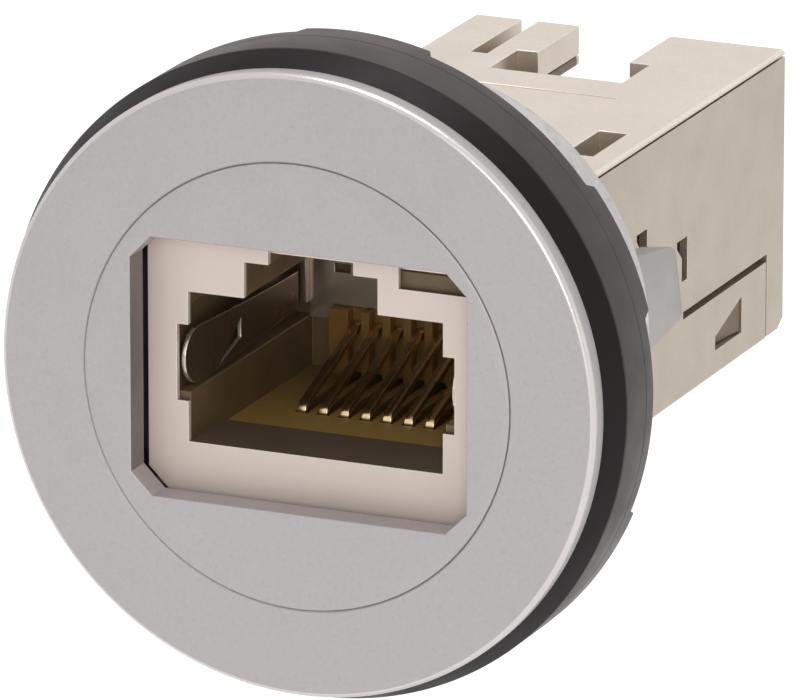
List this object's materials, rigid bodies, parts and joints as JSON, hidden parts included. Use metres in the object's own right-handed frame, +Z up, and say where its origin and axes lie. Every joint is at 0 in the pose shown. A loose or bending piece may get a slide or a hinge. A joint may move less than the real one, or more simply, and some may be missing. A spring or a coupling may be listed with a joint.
{
  "type": "ethernet coupler",
  "caption": "Round panel-mount ethernet coupler: a silver bezel and sealed neck hold a plated shell with a modular socket at each end.",
  "frame": {"origin": "on the neck's axis, at the plane of the panel's front, where the seal's pads press", "axes": "+Y runs through the panel to the rear socket, +Z points up to the latch side of both sockets, +X to the right seen from the front"},
  "size_m": [0.0292, 0.0376, 0.0292],
  "materials": {
    "silver_bezel": "satin silver lacquer",
    "black_flange": "satin moulded",
    "black_seal": "matte",
    "grey_neck": "cast zinc alloy, matte",
    "nickel_cast": "matte nickel plate on a casting",
    "nickel_sheet": "matte nickel plate on sheet",
    "front_nickel": "matte nickel plate",
    "amber_insert": "smooth moulded",
    "amber_comb": "smooth moulded",
    "gold_contact": "gold plate",
    "spring_steel": "bright strip",
    "board_laminate": "solder mask"
  },
  "bodies": {
    "root": {"bezel_ring": "silver_bezel", "face_disc": "silver_bezel", "bezel_carrier": "black_flange", "panel_seal": "black_seal", "neck_sleeve": "grey_neck", "front_plate": "front_nickel", "rear_plate": "front_nickel", "top_cover": "nickel_cast", "side_shell": "nickel_sheet", "front_insert": "amber_insert", "rear_insert": "amber_insert", "front_contacts": "gold_contact", "rear_contacts": "gold_contact", "front_comb": "amber_comb", "rear_comb": "amber_comb", "front_back_shield": "spring_steel", "rear_back_shield": "spring_steel", "front_spring_right": "spring_steel", "front_spring_left": "spring_steel", "rear_spring_right": "spring_steel", "rear_spring_left": "spring_steel", "circuit_board": "board_laminate"}
  },
  "joints": []
}
